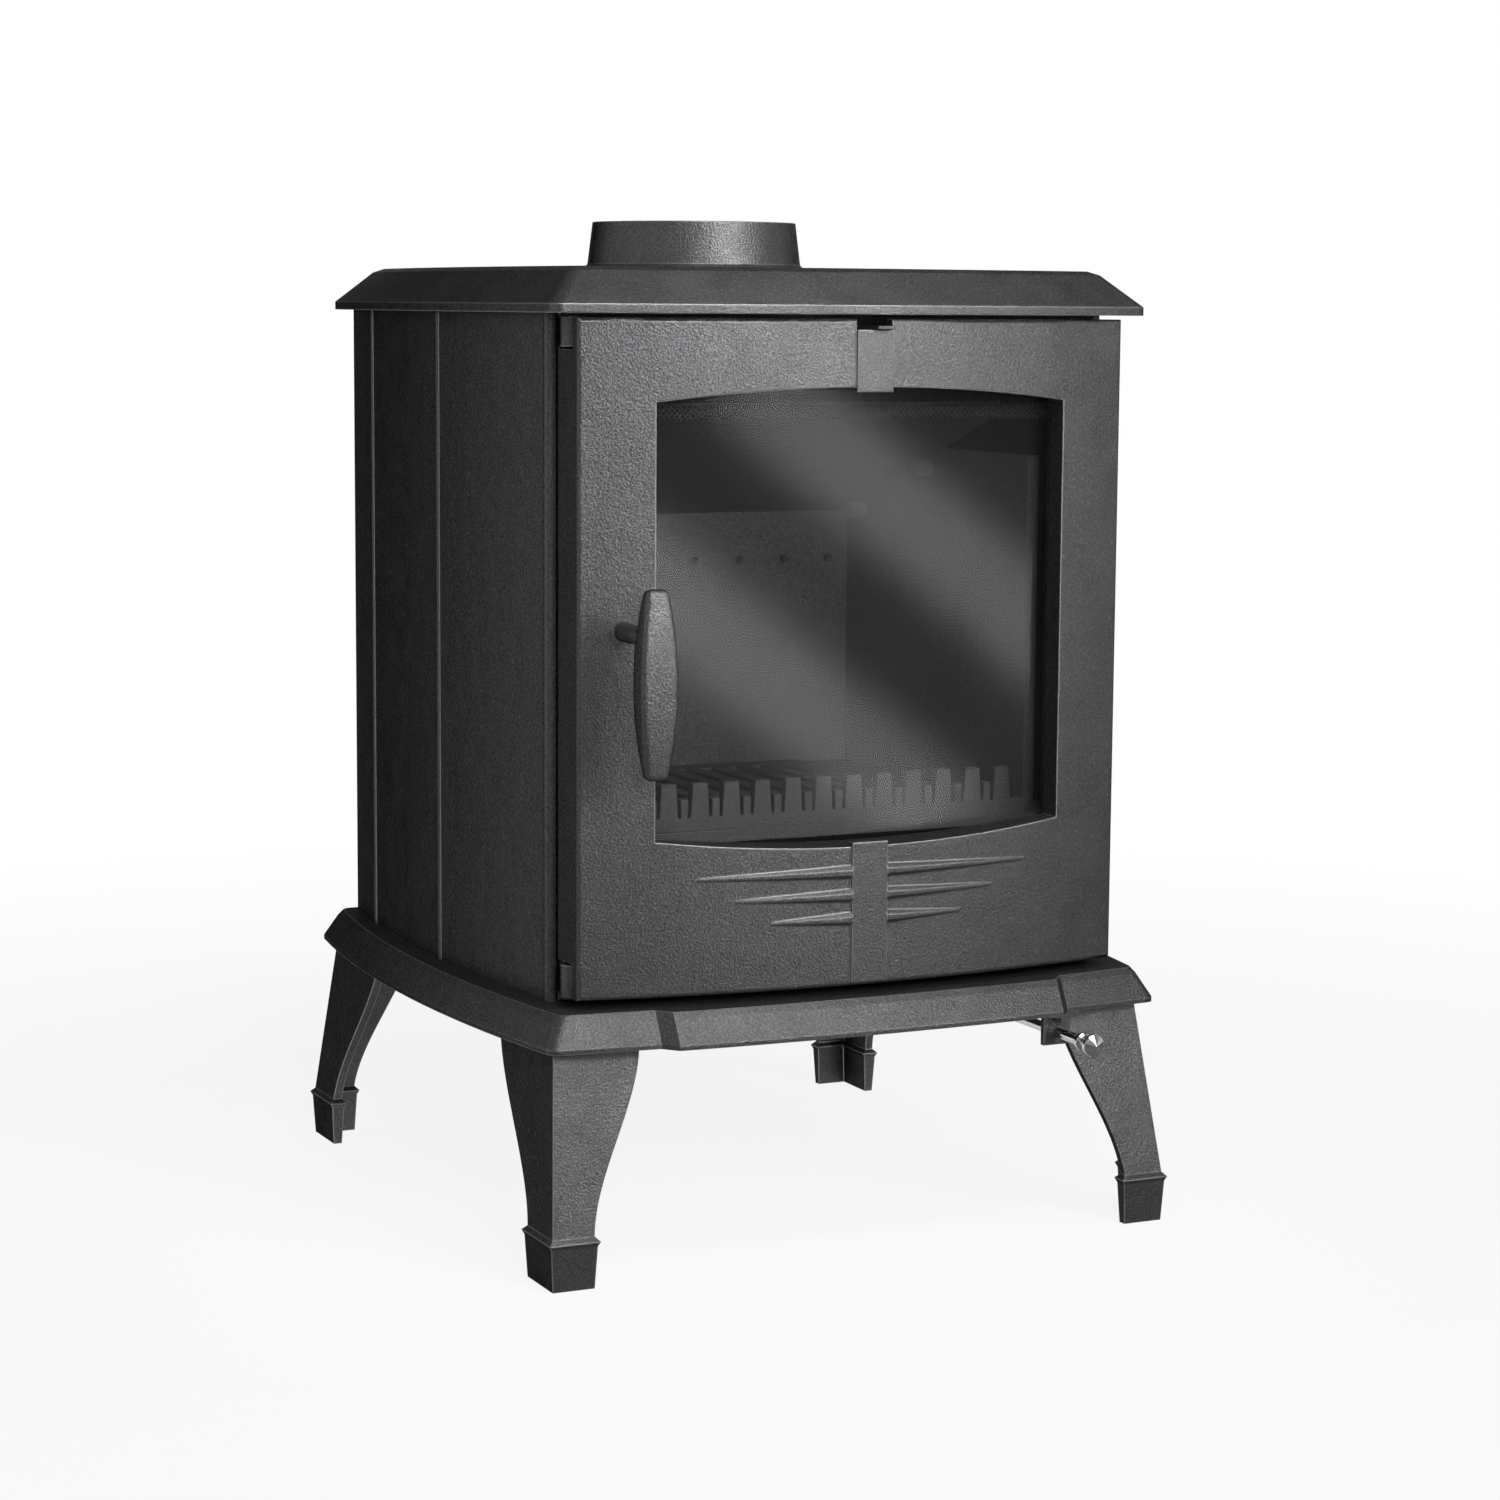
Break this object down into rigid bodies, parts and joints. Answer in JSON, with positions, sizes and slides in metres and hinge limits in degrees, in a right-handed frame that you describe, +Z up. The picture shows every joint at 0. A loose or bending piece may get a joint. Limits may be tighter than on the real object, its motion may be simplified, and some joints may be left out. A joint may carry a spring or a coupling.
{
  "type": "cast iron stove",
  "caption": "Free-standing cast iron wood stove on splayed legs, with a bowed glass door, lever handle, top flue collar, airwash slide and primary air pull knob.",
  "frame": {"origin": "on the floor, at the middle of the stove's box", "axes": "+Z up, +X to the right of someone facing the door, front (door) towards -Y"},
  "size_m": [0.4678, 0.504, 0.66],
  "materials": {
    "stove_iron": "matt stove black, sand-cast grain",
    "firebox_iron": "bare sand-cast grey",
    "dark_steel": "oiled black",
    "chrome": "polished",
    "ceramic_glass": "smooth ceramic glass",
    "seal_rope": "braided glass fibre"
  },
  "bodies": {
    "stove_body": {"base_plate": "stove_iron", "leg_front_left": "stove_iron", "leg_front_right": "stove_iron", "leg_rear_left": "stove_iron", "leg_rear_right": "stove_iron", "side_panel_left": "stove_iron", "side_panel_right": "stove_iron", "back_panel": "stove_iron", "front_frame": "stove_iron", "top_plate": "stove_iron", "flue_collar": "stove_iron", "air_rod_bracket": "stove_iron", "hearth_plate": "firebox_iron", "grate": "firebox_iron", "side_liner_left": "firebox_iron", "side_liner_right": "firebox_iron", "back_liner": "firebox_iron", "baffle_plate": "firebox_iron", "log_guard": "firebox_iron", "leg_bolts": "dark_steel", "tie_rods": "dark_steel", "tie_rod_nuts": "dark_steel", "flue_collar_screws": "dark_steel", "airwash_channel": "dark_steel", "airwash_channel_screws": "dark_steel", "ash_pan": "dark_steel", "shutter_guides": "dark_steel", "air_bracket_bolt": "dark_steel", "hinge_pins": "dark_steel"},
    "door": {"door_casting": "stove_iron", "door_glass": "ceramic_glass", "glass_seal_tape": "seal_rope", "glass_clips": "dark_steel", "glass_clip_screws": "dark_steel", "door_rope_seal": "seal_rope"},
    "handle": {"handle_grip": "stove_iron", "handle_spindle": "dark_steel", "latch_tongue": "dark_steel", "spindle_nut": "dark_steel"},
    "airwash_control": {"airwash_slide": "dark_steel"},
    "primary_air_control": {"primary_air_shutter": "dark_steel", "primary_air_rod": "chrome", "primary_air_knob": "chrome"}
  },
  "joints": [
    {"name": "door_hinge", "type": "hinge", "parent": "stove_body", "child": "door", "pos_m": [0.1845, -0.1685, 0.386], "axis": [0, 0, 1], "range_deg": [0, 100]},
    {"name": "handle_turn", "type": "hinge", "parent": "door", "child": "handle", "pos_m": [-0.163, -0.193, 0.405], "axis": [0, 1, 0], "range_deg": [0, 90]},
    {"name": "airwash_lever", "type": "slide", "parent": "stove_body", "child": "airwash_control", "axis": [1, 0, 0], "range_m": [-0.01, 0]},
    {"name": "primary_air_pull", "type": "slide", "parent": "stove_body", "child": "primary_air_control", "axis": [0, -1, 0], "range_m": [0, 0.03]}
  ]
}
